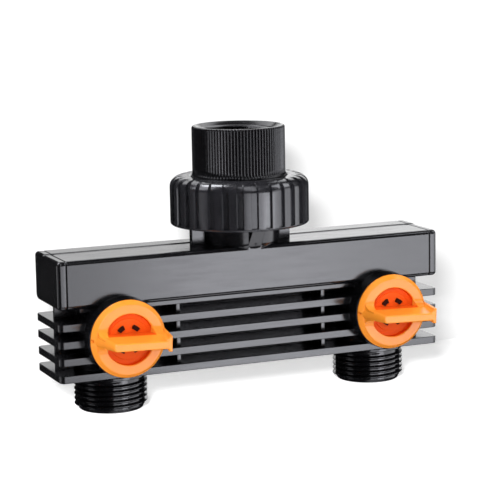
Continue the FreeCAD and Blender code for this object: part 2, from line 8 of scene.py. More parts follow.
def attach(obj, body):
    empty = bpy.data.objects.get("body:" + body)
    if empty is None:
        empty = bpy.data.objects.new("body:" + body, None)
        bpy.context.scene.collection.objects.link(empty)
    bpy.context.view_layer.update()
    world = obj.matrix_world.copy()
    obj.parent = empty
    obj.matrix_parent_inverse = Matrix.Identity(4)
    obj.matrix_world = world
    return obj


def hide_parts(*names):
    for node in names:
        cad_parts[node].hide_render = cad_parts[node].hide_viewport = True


bl_info = {
    "name": "Hose Splitter",
    "version": (1, 0, 0),
    "blender": (4, 5, 0),
    "location": "3D Viewport > Sidebar > Splitter",
    "description": "Dresses a two-way hose splitter: moulded manifold, union inlet, outlets and valve knobs",
    "category": "Object",
}

# Lengths in the tables below are millimetres; heights are above the outlets' end faces.
MM = 0.001
SEAT_H = 86.1                    # height of the frame's origin, the inlet's sealing seat
OUTLET_X = 51.5
VALVE_H = 28.6
SIDES = {"left": -1, "right": 1}
G34_PITCH = 1.814
G34_CREST_R = 13.22
G34_ROOT_R = 12.06
THREAD_FADE = 0.3                # share of a turn over which a thread fades out at each end
BAR_END = 74.3                   # half the bar's length over its caps
CAP_SEAM = 71.15
CAP_ROUND = 1.4
SEAM_BEVEL = 0.25
STRIP_Y = (3.85, 4.3)            # the riser in front of the bar's back strip
STRIP_TOP = 55.95
STRIP_RISE = 0.75
RISER_SHIFT = 0.414              # how far the riser comes forward for each unit that an end is inset
BACK_CENTRE = (10.95, 53.45)     # y and height of the bar's rounded back edge
BACK_R = 2.5
BACK_TIGHTER = 1.0
BACK_SLACK = 0.12                # how far outside the rounded edge a point is still on it
TOP_SLACK = 0.5                  # how far above the strip a point is still on the bar
EDGE_SLACK = 0.1                 # how far below the caps' rounded edge a point still rises with it
NECK_REACH = 16.0
FLAT_DEG = 0.6                   # faces that meet at less than this are one flat face
SHARP_DEG = 28.0                 # edges that meet at more than this are rounded
HAIR = 0.01                      # a distance too small to matter, for telling points apart
WELD = 2e-6                      # in metres: vertices nearer than this are one
FINE_WELD = 1e-6

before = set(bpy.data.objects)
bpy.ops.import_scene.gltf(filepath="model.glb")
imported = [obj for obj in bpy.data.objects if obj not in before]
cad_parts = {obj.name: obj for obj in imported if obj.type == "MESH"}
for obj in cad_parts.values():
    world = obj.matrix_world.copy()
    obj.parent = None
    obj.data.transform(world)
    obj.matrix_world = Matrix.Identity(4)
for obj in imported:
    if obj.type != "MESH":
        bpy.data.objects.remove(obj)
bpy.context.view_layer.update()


# ---- settings ----

class SplitterSizes(bpy.types.PropertyGroup):
    """Sizes that finish the CAD shapes."""
    edge_round: bpy.props.FloatProperty(
        name="Edge round", description="Radius on the manifold's and caps' moulded edges",
        default=0.22 * MM, min=0.0, unit="LENGTH", precision=5)
    groove_columns: bpy.props.IntProperty(
        name="Nut columns", description="Mesh columns across one ridge and groove of the nut",
        default=16, min=8, max=32)
    rib_columns: bpy.props.IntProperty(
        name="Rib columns", description="Mesh columns across one grip rib of the inlet",
        default=6, min=4, max=12)
    nut_ridges: bpy.props.IntProperty(
        name="Nut ridges", description="Ridges round the union nut", default=30, min=8, max=60)
    grip_ribs: bpy.props.IntProperty(
        name="Grip ribs", description="Fine ribs round the inlet", default=90, min=30, max=160)
    thread_pitch: bpy.props.FloatProperty(
        name="Thread pitch", description="Pitch of the inlet's and outlets' threads",
        default=G34_PITCH * MM, min=0.0005, unit="LENGTH", precision=5)


class SplitterColours(bpy.types.PropertyGroup):
    """Colours of the moulded plastics and rubbers."""
    body: bpy.props.FloatVectorProperty(
        name="Body", description="Black plastic of the manifold and caps",
        default=(0.006, 0.006, 0.007), subtype="COLOR", min=0.0, max=1.0)
    nut: bpy.props.FloatVectorProperty(
        name="Nut", description="Soft black plastic of the union nut",
        default=(0.020, 0.020, 0.024), subtype="COLOR", min=0.0, max=1.0)
    inlet: bpy.props.FloatVectorProperty(
        name="Inlet", description="Black plastic of the ribbed inlet",
        default=(0.005, 0.005, 0.006), subtype="COLOR", min=0.0, max=1.0)
    outlet: bpy.props.FloatVectorProperty(
        name="Outlets", description="Black plastic of the threaded outlets",
        default=(0.005, 0.005, 0.006), subtype="COLOR", min=0.0, max=1.0)
    knob: bpy.props.FloatVectorProperty(
        name="Knobs", description="Orange plastic of the valve knobs",
        default=(0.94, 0.30, 0.028), subtype="COLOR", min=0.0, max=1.0)
    # Painted shade: the deeper orange stands in for the shade and the bounced orange light down in the knobs'
    # recess.
    knob_dish: bpy.props.FloatVectorProperty(
        name="Knob dish", description="Deeper orange down in the knobs' recess",
        default=(0.84, 0.105, 0.009), subtype="COLOR", min=0.0, max=1.0)
    # Partly painted light: the plugs' dark plastic is tinted red-brown to stand in for the shade and the
    # knobs' orange light seen through the windows.
    plug: bpy.props.FloatVectorProperty(
        name="Plugs", description="Dark plastic of the valve plugs and retainers",
        default=(0.040, 0.012, 0.008), subtype="COLOR", min=0.0, max=1.0)
    rubber: bpy.props.FloatVectorProperty(
        name="Rubber", description="Black rubber of seats, rings and gaskets",
        default=(0.022, 0.022, 0.022), subtype="COLOR", min=0.0, max=1.0)
    washer: bpy.props.FloatVectorProperty(
        name="Washer", description="Brown rubber of the inlet washer",
        default=(0.09, 0.045, 0.03), subtype="COLOR", min=0.0, max=1.0)


# ---- materials ----

FINISH = "_finish"               # added to a slot's name in its material's name
NOISE_MIDDLE = (0.3, 0.7)        # the range that most of a noise's values lie in
CLOUD_SCALE = 60.0
SCUFF_SCALE = 260.0
SWELL_SCALE = 140.0
GRAIN_SCALE = 2600.0
SWELL_WEIGHT = 3.0
BUMP_DEPTH = 0.04 * MM
COOL_SHINE = (0.92, 0.93, 1.0, 1.0)


def new_material(name):
    """A node material with only its output, and the tree to fill."""
    material = bpy.data.materials.new(name)
    material.use_nodes = True
    tree = material.node_tree
    tree.nodes.clear()
    output = tree.nodes.new("ShaderNodeOutputMaterial")
    return material, tree, output


def feed(tree, socket, value):
    """Links a socket to the value where that is another socket, or else sets it."""
    if isinstance(value, bpy.types.NodeSocket):
        tree.links.new(value, socket)
    else:
        socket.default_value = value


def add_node(tree, kind, values, **settings):
    """A node with its settings and its inputs, each by its name or number."""
    node = tree.nodes.new(kind)
    for key, value in settings.items():
        setattr(node, key, value)
    for key, value in values.items():
        feed(tree, node.inputs[key], value)
    return node


def noise(tree, coordinates, scale, detail, roughness=0.5):
    return add_node(tree, "ShaderNodeTexNoise", {"Vector": coordinates, "Scale": scale, "Detail": detail,
                                                 "Roughness": roughness}).outputs["Fac"]


def spread(tree, value, low, high):
    """Maps a noise value's middle range to low..high."""
    return add_node(tree, "ShaderNodeMapRange", {
        "Value": value, "From Min": NOISE_MIDDLE[0], "From Max": NOISE_MIDDLE[1], "To Min": low,
        "To Max": high}).outputs["Result"]


def stretched(tree, coordinates, factors):
    """The coordinates scaled unevenly, for marks that run one way."""
    return add_node(tree, "ShaderNodeMapping", {"Vector": coordinates, "Scale": factors}).outputs["Vector"]


def moulded_plastic(slot, colour, tint, gloss, grain, level=0.5, marks=(1.0, 1.0, 6.0)):
    """Moulded plastic: cloudy colour, uneven gloss, faint scuffs and the mould's fine grain.

    tint is the colour's cloudiness, gloss the lowest and highest roughness, grain the bump's strength.
    """
    material, tree, output = new_material(slot + FINISH)
    where = tree.nodes.new("ShaderNodeTexCoord").outputs["Object"]
    ramp = add_node(tree, "ShaderNodeValToRGB", {"Fac": noise(tree, where, CLOUD_SCALE, 4.0)})
    for stop, place, share in zip(ramp.color_ramp.elements, NOISE_MIDDLE, (1 - tint, 1 + tint)):
        stop.position = place
        stop.color = [min(1, c * share) for c in colour] + [1]
    scuffs = noise(tree, stretched(tree, where, marks), SCUFF_SCALE, 5.0, 0.6)
    height = add_node(tree, "ShaderNodeMath", {
        0: noise(tree, where, SWELL_SCALE, 1.0), 1: SWELL_WEIGHT,
        2: noise(tree, where, GRAIN_SCALE, 2.0)}, operation="MULTIPLY_ADD")
    bump = add_node(tree, "ShaderNodeBump", {"Strength": grain, "Distance": BUMP_DEPTH,
                                             "Height": height.outputs["Value"]})
    shader = add_node(tree, "ShaderNodeBsdfPrincipled", {
        "Base Color": ramp.outputs["Color"], "Roughness": spread(tree, scuffs, *gloss),
        "Specular IOR Level": level, "Specular Tint": COOL_SHINE, "Normal": bump.outputs["Normal"]})
    tree.links.new(shader.outputs["BSDF"], output.inputs["Surface"])
    return material


def paint_recess_shade(material, shade_mark, colour, level):
    """Paints shade onto marked faces as a deeper colour, and gives them another specular level."""
    tree = material.node_tree
    shader = next(n for n in tree.nodes if n.type == "BSDF_PRINCIPLED")
    base, gloss = shader.inputs["Base Color"], shader.inputs["Specular IOR Level"]
    share = add_node(tree, "ShaderNodeAttribute", {}, attribute_name=shade_mark).outputs["Fac"]
    mix = add_node(tree, "ShaderNodeMix", {"Factor": share, 6: base.links[0].from_socket, 7: (*colour, 1)},
                   data_type="RGBA")
    tree.links.new(mix.outputs[2], base)
    fade = add_node(tree, "ShaderNodeMapRange", {"Value": share, "To Min": gloss.default_value,
                                                 "To Max": level})
    tree.links.new(fade.outputs["Result"], gloss)


def make_finishes(colours):
    moulded_plastic("body_black", colours.body, 0.25, (0.14, 0.22), 0.06, 0.8, (0.3, 1.0, 3.0))
    moulded_plastic("nut_black", colours.nut, 0.25, (0.18, 0.26), 0.05, 1.0)
    moulded_plastic("adaptor_black", colours.inlet, 0.25, (0.16, 0.26), 0.08, 0.65)
    moulded_plastic("thread_black", colours.outlet, 0.25, (0.10, 0.18), 0.05, 0.8)
    knob = moulded_plastic("knob_orange", colours.knob, 0.05, (0.20, 0.26), 0.03, 0.5)
    # Painted shade: the knobs' recess gets a deeper orange where its faces are marked.
    paint_recess_shade(knob, "dish", colours.knob_dish, 0.05)
    # Partly painted light: the plugs' red-brown tint stands in for the shade and the knobs' orange light in
    # the windows.
    moulded_plastic("plug", colours.plug, 0.2, (0.5, 0.65), 0.15, 0.1)
    moulded_plastic("rubber", colours.rubber, 0.3, (0.6, 0.8), 0.4)
    moulded_plastic("washer", colours.washer, 0.3, (0.6, 0.8), 0.4)


def materials():
    """Every finish by its slot, made on the first call."""
    if "body_black" + FINISH not in bpy.data.materials:
        make_finishes(bpy.context.scene.splitter_colours)
    return {m.name.removesuffix(FINISH): m for m in bpy.data.materials if m.name.endswith(FINISH)}


# ---- meshes ----

def add_object(name, mesh):
    ob = bpy.data.objects.new(name, mesh)
    bpy.context.scene.collection.objects.link(ob)
    return ob


def settle(ob):
    """Turns the object's evaluated shape into its own plain mesh and drops its modifiers."""
    bpy.context.view_layer.update()
    depsgraph = bpy.context.evaluated_depsgraph_get()
    mesh = bpy.data.meshes.new_from_object(ob.evaluated_get(depsgraph), preserve_all_data_layers=True,
                                           depsgraph=depsgraph)
    mesh.name = ob.name
    ob.modifiers.clear()
    ob.data = mesh
    return ob


@contextmanager
def editing(mesh):
    """The mesh opened for editing, and written back at the end."""
    bm = bmesh.new()
    bm.from_mesh(mesh)
    yield bm
    bm.to_mesh(mesh)
    bm.free()


def close_and_orient(mesh, gap=WELD):
    """Merges doubled vertices and turns the faces outwards."""
    with editing(mesh) as bm:
        bmesh.ops.remove_doubles(bm, verts=bm.verts, dist=gap)
        bmesh.ops.recalc_face_normals(bm, faces=bm.faces)
        for face in bm.faces:
            face.smooth = True


def weigh_normals(ob, sharp_deg=40.0):
    """Smooth shading that keeps broad faces flat and sharp edges sharp."""
    limit = math.radians(sharp_deg)
    with editing(ob.data) as bm:
        for face in bm.faces:
            face.smooth = True
        for edge in bm.edges:
            edge.smooth = not edge.is_manifold or edge.calc_face_angle(0.0) < limit
    modifier = ob.modifiers.new("Weighted normals", "WEIGHTED_NORMAL")
    modifier.weight = 100
    modifier.keep_sharp = True
    return settle(ob)


def join(objects, name):
    """Joins meshes that already lie in the frame into the first object."""
    bm = bmesh.new()
    for ob in objects:
        bm.from_mesh(ob.data)
    mesh = bpy.data.meshes.new(name)
    bm.to_mesh(mesh)
    bm.free()
    for slot_material in objects[0].data.materials:
        mesh.materials.append(slot_material)
    for ob in objects:
        bpy.data.objects.remove(ob)
    return add_object(name, mesh)


def arc(centre, radius, start_deg, end_deg, steps):
    """Points along an arc, ends included."""
    turns = [math.radians(start_deg + (end_deg - start_deg) * i / steps) for i in range(steps + 1)]
    return [(centre[0] + radius * math.cos(t), centre[1] + radius * math.sin(t)) for t in turns]


def rounded_profile(corners, steps=3, closed=True):
    """(radius, height) points through (radius, height, corner round) corners."""
    points = []
    count = len(corners)
    for i, (r, h, rounding) in enumerate(corners):
        ends = not closed and i in (0, count - 1)
        if rounding == 0 or ends:
            points.append((r, h))
            continue
        here = Vector((r, h))
        before = Vector(corners[i - 1][:2]) - here
        after = Vector(corners[(i + 1) % count][:2]) - here
        before.normalize()
        after.normalize()
        half = before.angle(after) / 2
        reach = rounding / math.tan(half)
        centre = here + (before + after).normalized() * (rounding / math.sin(half))
        start = here + before * reach - centre
        end = here + after * reach - centre
        sweep = math.pi - 2 * half
        for step in range(steps + 1):
            share = step / steps
            arm = (start * math.sin((1 - share) * sweep) + end * math.sin(share * sweep)) / math.sin(sweep)
            points.append(tuple(centre + arm))
    if closed:
        points.append(points[0])
    return points


def profile_object(name, points, groove=None):
    """A chain of vertices at (radius, 0, height); groove gives where each goes at a groove's floor."""
    mesh = bpy.data.meshes.new(name)
    chain = [Vector((r, 0, h)) * MM for r, h in points]
    floor = [Vector((r, 0, h)) * MM for r, h in (groove or points)]
    mesh.from_pydata(chain, [(i, i + 1) for i in range(len(chain) - 1)], [])
    attribute = mesh.attributes.new("floor", "FLOAT_VECTOR", "POINT")
    for i, place in enumerate(floor):
        attribute.data[i].vector = place
    return add_object(name, mesh)


# ---- Geometry Nodes ----

class Tree:
    """A geometry node group being built, with short ways to add nodes and links."""

    def __init__(self, name, inputs):
        self.group = bpy.data.node_groups.new(name, "GeometryNodeTree")
        face = self.group.interface
        face.new_socket("Geometry", in_out="INPUT", socket_type="NodeSocketGeometry")
        for label, kind, default in inputs:
            socket = face.new_socket(label, in_out="INPUT", socket_type=kind)
            if default is not None:
                socket.default_value = default
        face.new_socket("Geometry", in_out="OUTPUT", socket_type="NodeSocketGeometry")
        self.inputs = self.group.nodes.new("NodeGroupInput").outputs
        self.output = self.group.nodes.new("NodeGroupOutput")

    def add(self, kind, values=(), **settings):
        """A node with its settings and its enabled inputs in order."""
        node = add_node(self.group, kind, {}, **settings)
        for socket, value in zip([s for s in node.inputs if s.enabled], values):
            feed(self.group, socket, value)
        return node

    def out(self, kind, values=(), **settings):
        """The same, returning the node's first enabled output."""
        node = self.add(kind, values, **settings)
        return [s for s in node.outputs if s.enabled][0]

    def math(self, operation, *values):
        return self.out("ShaderNodeMath", values, operation=operation)

    def whole(self, operation, *values):
        return self.out("FunctionNodeIntegerMath", values, operation=operation)

    def close(self, geometry):
        """Ends the tree: merges seams, realizes and sets the material."""
        merged = self.out("GeometryNodeMergeByDistance", (geometry, True, FINE_WELD))
        real = self.out("GeometryNodeRealizeInstances", (merged,))
        done = self.out("GeometryNodeSetMaterial", (real, True, self.inputs["Material"]))
        self.group.links.new(done, self.output.inputs[0])
        return self.group


def grid_over(tree, geometry, columns):
    """A grid with one column per step round and one row per profile vertex.

    Returns the grid, the column number, and a reader of the profile's values by row.
    """
    rows = tree.add("GeometryNodeAttributeDomainSize", (geometry,), component="MESH").outputs["Point Count"]
    grid = tree.out("GeometryNodeMeshGrid", (1.0, 1.0, columns, rows))
    index = tree.out("GeometryNodeInputIndex")
    column = tree.whole("DIVIDE_FLOOR", index, rows)
    row = tree.whole("MODULO", index, rows)

    def read(value):
        return tree.out("GeometryNodeSampleIndex", (geometry, value, row),
                        data_type="FLOAT_VECTOR", domain="POINT")

    return grid, column, read


def turned_tree():
    """Turns a profile about Z, with evenly spaced ribs between grooves that follow a second profile."""
    name = "Turned And Ribbed"
    if name in bpy.data.node_groups:
        return bpy.data.node_groups[name]
    tree = Tree(name, [("Ribs", "NodeSocketInt", 1), ("Columns", "NodeSocketInt", 96),
                       ("Groove Share", "NodeSocketFloat", 0.0), ("Wall Share", "NodeSocketFloat", 0.0),
                       ("Facing", "NodeSocketFloat", 0.0), ("Material", "NodeSocketMaterial", None)])
    given = tree.inputs
    around = tree.whole("MULTIPLY", given["Ribs"], given["Columns"])
    columns = tree.whole("ADD", around, 1)
    grid, column, read = grid_over(tree, given["Geometry"], columns)
    position = read(tree.out("GeometryNodeInputPosition"))
    floor = read(tree.out("GeometryNodeInputNamedAttribute", ("floor",), data_type="FLOAT_VECTOR"))
    share = tree.math("DIVIDE", column, given["Columns"])
    from_middle = tree.math("PINGPONG", share, 0.5)
    half_groove = tree.math("MULTIPLY", given["Groove Share"], 0.5)
    wall_end = tree.math("ADD", half_groove, given["Wall Share"])
    depth = tree.out("ShaderNodeMapRange", (from_middle, half_groove, wall_end, 1.0, 0.0),
                     interpolation_type="SMOOTHSTEP")
    blend = tree.out("ShaderNodeMix", (depth, position, floor), data_type="VECTOR")
    turn = tree.math("DIVIDE", column, around)
    radians = tree.math("MULTIPLY_ADD", turn, 2 * math.pi, given["Facing"])
    place = tree.out("ShaderNodeVectorRotate", (blend, (0, 0, 0), radians), rotation_type="Z_AXIS")
    moved = tree.out("GeometryNodeSetPosition", (grid, True, place))
    return tree.close(moved)


def thread_tree():
    """Runs a thread's ridge section along a helix about Z, fading at both ends."""
    name = "Thread Turns"
    if name in bpy.data.node_groups:
        return bpy.data.node_groups[name]
    tree = Tree(name, [("Pitch", "NodeSocketFloat", G34_PITCH * MM), ("Steps", "NodeSocketInt", 64),
                       ("Turns", "NodeSocketFloat", 4.0), ("Root Radius", "NodeSocketFloat", 0.012),
                       ("Start Height", "NodeSocketFloat", 0.0),
                       ("Fade", "NodeSocketFloat", THREAD_FADE),
                       ("Material", "NodeSocketMaterial", None)])
    given = tree.inputs
    length = tree.math("MULTIPLY", given["Turns"], given["Steps"])
    columns = tree.math("ADD", length, 1.0)
    grid, column, read = grid_over(tree, given["Geometry"], columns)
    section = read(tree.out("GeometryNodeInputPosition"))
    parts = tree.add("ShaderNodeSeparateXYZ", (section,)).outputs
    turn = tree.math("DIVIDE", column, given["Steps"])
    left = tree.math("SUBTRACT", given["Turns"], turn)
    nearest = tree.math("MINIMUM", turn, left)
    fade = tree.math("DIVIDE", nearest, given["Fade"])
    size = tree.out("ShaderNodeClamp", (fade, 0.0, 1.0))
    rise = tree.math("MULTIPLY", parts["X"], size)
    radius = tree.math("ADD", rise, given["Root Radius"])
    climb = tree.math("MULTIPLY_ADD", turn, given["Pitch"], given["Start Height"])
    height = tree.math("ADD", climb, parts["Z"])
    point = tree.out("ShaderNodeCombineXYZ", (radius, 0.0, height))
    angle = tree.math("MULTIPLY", turn, 2 * math.pi)
    place = tree.out("ShaderNodeVectorRotate", (point, (0, 0, 0), angle), rotation_type="Z_AXIS")
    moved = tree.out("GeometryNodeSetPosition", (grid, True, place))
    return tree.close(moved)


def run_tree(ob, group, values):
    """Applies a node group to an object and keeps the result as its plain mesh."""
    modifier = ob.modifiers.new(group.name, "NODES")
    modifier.node_group = group
    for item in group.interface.items_tree:
        if item.in_out == "INPUT" and item.name in values:
            modifier[item.identifier] = values[item.name]
    settle(ob)
    close_and_orient(ob.data)
    return ob


def turn(name, points, material, ribs=1, columns=96, groove=None, groove_share=0.0, wall_share=0.0,
         facing=0.0):
    """A turned piece about Z at the given heights, moved into the frame."""
    ob = profile_object(name, points, groove)
    run_tree(ob, turned_tree(), {"Ribs": ribs, "Columns": columns, "Groove Share": groove_share,
                                 "Wall Share": wall_share, "Facing": facing, "Material": material})
    return ob


def thread(name, section, root_radius, start, turns, material):
    """A helical ridge about Z; section is (rise, offset along the axis) in millimetres."""
    ob = profile_object(name, section)
    sizes = bpy.context.scene.splitter_sizes
    run_tree(ob, thread_tree(), {"Pitch": sizes.thread_pitch, "Turns": turns, "Root Radius": root_radius * MM,
                                 "Start Height": start * MM, "Material": material})
    cap_ends(ob.data)
    return ob


def cap_ends(mesh):
    """Closes the holes at the two ends of a swept ridge."""
    with editing(mesh) as bm:
        bmesh.ops.holes_fill(bm, edges=[edge for edge in bm.edges if edge.is_boundary])
        bmesh.ops.recalc_face_normals(bm, faces=bm.faces)


def shift(ob, offset):
    """Moves a mesh, not its object."""
    ob.data.transform(Matrix.Translation(offset))


def lofted(name, sections):
    """A closed skin over sections of equal length, capped at both ends."""
    bm = bmesh.new()
    rings = [[bm.verts.new(Vector(p) * MM) for p in section] for section in sections]
    count = len(sections[0])
    for low, high in zip(rings, rings[1:]):
        for i in range(count):
            j = (i + 1) % count
            bm.faces.new((low[i], low[j], high[j], high[i]))
    bm.faces.new(rings[0])
    bm.faces.new(rings[-1])
    mesh = bpy.data.meshes.new(name)
    bm.to_mesh(mesh)
    bm.free()
    close_and_orient(mesh)
    return add_object(name, mesh)


def combine(ob, other, operation):
    """A boolean with another object, which is used up."""
    modifier = ob.modifiers.new(operation, "BOOLEAN")
    modifier.operation = operation
    modifier.solver = "EXACT"
    modifier.object = other
    settle(ob)
    bpy.data.objects.remove(other)
    close_and_orient(ob.data, FINE_WELD)
    return ob


# ---- pieces ----

def raise_strip(bm):
    """Brings the sunk strip along the bar's top just above the rest and tightens its back edge."""
    for vert in bm.verts:
        x, y, z = abs(vert.co.x) / MM, vert.co.y / MM, vert.co.z / MM + SEAT_H
        out = x - (BAR_END - CAP_ROUND)
        if out > 0:
            inset = CAP_ROUND - math.sqrt(max(0.0, CAP_ROUND ** 2 - out ** 2))
        else:
            inset = max(0.0, SEAM_BEVEL - abs(x - CAP_SEAM))
        share = (y - STRIP_Y[0] + RISER_SHIFT * inset) / (STRIP_Y[1] - STRIP_Y[0])
        arm = Vector((y, z)) - Vector(BACK_CENTRE)
        if share <= 0 or z > STRIP_TOP + TOP_SLACK:
            continue
        on_flat = arm.y > -HAIR and (arm.length > BACK_R + BACK_SLACK or x < NECK_REACH)
        if arm.x < -HAIR or on_flat:
            if z > STRIP_TOP - CAP_ROUND - EDGE_SLACK:
                vert.co.z += STRIP_RISE * min(1.0, share) * MM
        elif arm.y > -HAIR:
            arm *= max(0.0, arm.length - BACK_TIGHTER) / arm.length
            vert.co.y = (BACK_CENTRE[0] + BACK_TIGHTER + arm.x) * MM
            vert.co.z = (BACK_CENTRE[1] + BACK_TIGHTER + STRIP_RISE + arm.y - SEAT_H) * MM


def rounded_copy(node, name, width, additions=(), trims=()):
    """A merged copy of a CAD node, with any additions and trims, and every sharp edge rounded."""
    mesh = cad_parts[node].data.copy()
    mesh.name = name
    with editing(mesh) as bm:
        bmesh.ops.remove_doubles(bm, verts=bm.verts, dist=WELD)
        raise_strip(bm)
        bmesh.ops.dissolve_limit(bm, angle_limit=math.radians(FLAT_DEG), verts=bm.verts, edges=bm.edges)
    ob = add_object(name, mesh)
    for addition in additions:
        combine(ob, addition, "UNION")
    for trim in trims:
        combine(ob, trim, "DIFFERENCE")
    bevel = ob.modifiers.new("Edge round", "BEVEL")
    bevel.width = width
    bevel.segments = 2
    bevel.limit_method = "ANGLE"
    bevel.angle_limit = math.radians(SHARP_DEG)
    bevel.use_clamp_overlap = False
    bevel.miter_outer = "MITER_ARC"
    settle(ob)
    ob.data.materials.clear()
    return weigh_normals(ob)


def dress(ob, material, body, replaced):
    """Gives a finished piece its material where it has none, parents it to its body, and hides the CAD nodes
    it stands for.
    """
    if not ob.data.materials:
        ob.data.materials.append(material)
    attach(ob, body)
    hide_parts(*replaced)


class SPLITTER_OT_manifold(bpy.types.Operator):
    """Round the moulded edges of the manifold, carry its spine out to the ends and dress it"""
    bl_idname = "splitter.manifold"
    bl_label = "Manifold"

    SPINE_HALF_T = 0.88
    SPINE_END = 72.0
    ABOVE_BOSS = (61.5, 28.3)        # the added stretch starts here above the outlet boss, in x and height
    BESIDE_BOSS = 64.2               # and here beside it
    SPINE_LOW = 14.0
    SPINE_HIGH = 39.06
    BACK_Y = (13.45, 14.2)           # flat back of the barrels, and well beyond what stands proud of it
    TRIM_HALF_W = 5.0
    TRIM_H = (12.6, 30.0)

    def spine_end(self, sign):
        """The spine's last stretch beyond an outlet boss, between the fins."""
        outline = [(self.BESIDE_BOSS, self.SPINE_LOW), (self.SPINE_END, self.SPINE_LOW),
                   (self.SPINE_END, self.SPINE_HIGH), (self.ABOVE_BOSS[0], self.SPINE_HIGH),
                   self.ABOVE_BOSS, (self.BESIDE_BOSS, self.ABOVE_BOSS[1])]
        return lofted("spine_end", [[(sign * x, y, z - SEAT_H) for x, z in outline]
                                    for y in (-self.SPINE_HALF_T, self.SPINE_HALF_T)])

    def boss_trim(self, sign):
        """The space behind an outlet boss, cut away so that the boss ends flush with the back."""
        left, right = sign * OUTLET_X - self.TRIM_HALF_W, sign * OUTLET_X + self.TRIM_HALF_W
        low, high = (h - SEAT_H for h in self.TRIM_H)
        return lofted("boss_trim", [[(left, y, low), (right, y, low), (right, y, high), (left, y, high)]
                                    for y in self.BACK_Y])

    def execute(self, context):
        width = context.scene.splitter_sizes.edge_round
        ob = rounded_copy("manifold_body", "manifold_moulding", width,
                          [self.spine_end(sign) for sign in SIDES.values()],
                          [self.boss_trim(sign) for sign in SIDES.values()])
        dress(ob, materials()["body_black"], "manifold", ["manifold_body"])
        return {"FINISHED"}


class SPLITTER_OT_end_caps(bpy.types.Operator):
    """Round the edges of both end caps and dress them"""
    bl_idname = "splitter.end_caps"
    bl_label = "End Caps"

    def execute(self, context):
        width = context.scene.splitter_sizes.edge_round
        for side in SIDES:
            ob = rounded_copy(f"end_cap_{side}", f"bar_cap_{side}", width)
            dress(ob, materials()["body_black"], "manifold", [f"end_cap_{side}"])
        return {"FINISHED"}


class SPLITTER_OT_union_nut(bpy.types.Operator):
    """Turn the union nut with its ridges and fading grooves"""
    bl_idname = "splitter.union_nut"
    bl_label = "Union Nut"

    BOTTOM = 63.15
    FOOT_TOP = 64.1
    FOOT_ROUND = 0.8
    TOP = 80.65
    RIDGE_R = 25.29
    SHOULDER_R = 3.8
    BORE_R = 20.5
    LIP_H = 77.3
    MOUTH_R = 17.55
    GROOVE_DEPTH = 1.1
    GROOVE_SHOULDER_R = 4.2
    GROOVE_SHARE = 0.40              # of each ridge and groove together
    WALL_SHARE = 0.035
    FACING_DEG = 247.7
    SIDE_ROWS = 6
    SHOULDER_ROWS = 12
    FLAT_ROWS = 5
    FLAT_STEP = 0.4

    def shell(self):
        """The nut's outline with fine rows up the side, so the grooves can fade over the shoulder."""
        rise = self.TOP - self.SHOULDER_R - self.FOOT_TOP
        side = [(self.RIDGE_R, self.FOOT_TOP + 2 * HAIR + rise * i / self.SIDE_ROWS, 0)
                for i in range(self.SIDE_ROWS)]
        flat = [(self.RIDGE_R - self.SHOULDER_R - self.FLAT_STEP * (i + 1), self.TOP)
                for i in range(self.FLAT_ROWS)]
        corners = [(self.BORE_R, self.BOTTOM, 0), (self.RIDGE_R, self.BOTTOM, self.FOOT_ROUND),
                   (self.RIDGE_R, self.FOOT_TOP, 0)] + side
        start = rounded_profile(corners, closed=False)
        shoulder = arc((self.RIDGE_R - self.SHOULDER_R, self.TOP - self.SHOULDER_R), self.SHOULDER_R, 0, 90,
                       self.SHOULDER_ROWS)
        inner = rounded_profile([(*flat[-1], 0), (self.MOUTH_R, self.TOP, 0.5),
                                 (self.MOUTH_R, self.LIP_H, 0.1), (self.BORE_R, self.LIP_H, 0.1),
                                 (self.BORE_R, self.BOTTOM + 0.3, 0)], closed=False)
        return start + shoulder + flat[:-1] + inner + [start[0]]

    def floor(self, point):
        """Where a point of the outline goes at the middle of a groove."""
        radius, height = point
        floor_r = self.RIDGE_R - self.GROOVE_DEPTH
        centre_r = floor_r - self.GROOVE_SHOULDER_R
        bend_h = self.TOP - self.GROOVE_SHOULDER_R
        if radius < centre_r or height < self.FOOT_TOP + HAIR:
            return point
        if height < bend_h:
            return (min(radius, floor_r), height)
        arm = Vector((radius - centre_r, height - bend_h))
        if arm.length < self.GROOVE_SHOULDER_R:
            return point
        arm = arm.normalized() * self.GROOVE_SHOULDER_R
        return (centre_r + arm.x, bend_h + arm.y)

    def execute(self, context):
        sizes = context.scene.splitter_sizes
        points = self.shell()
        outside = [h > self.FOOT_TOP + HAIR and r > self.MOUTH_R + 1 and
                   not (r <= self.BORE_R and h <= self.LIP_H) for r, h in points]
        groove = [self.floor(p) if out else p for p, out in zip(points, outside)]
        ob = turn("ridged_nut", points, materials()["nut_black"], sizes.nut_ridges, sizes.groove_columns,
                  groove, self.GROOVE_SHARE, self.WALL_SHARE, math.radians(self.FACING_DEG))
        shift(ob, Vector((0, 0, -SEAT_H * MM)))
        weigh_normals(ob, sharp_deg=60.0)
        dress(ob, materials()["nut_black"], "union_nut", ["union_nut"])
        return {"FINISHED"}


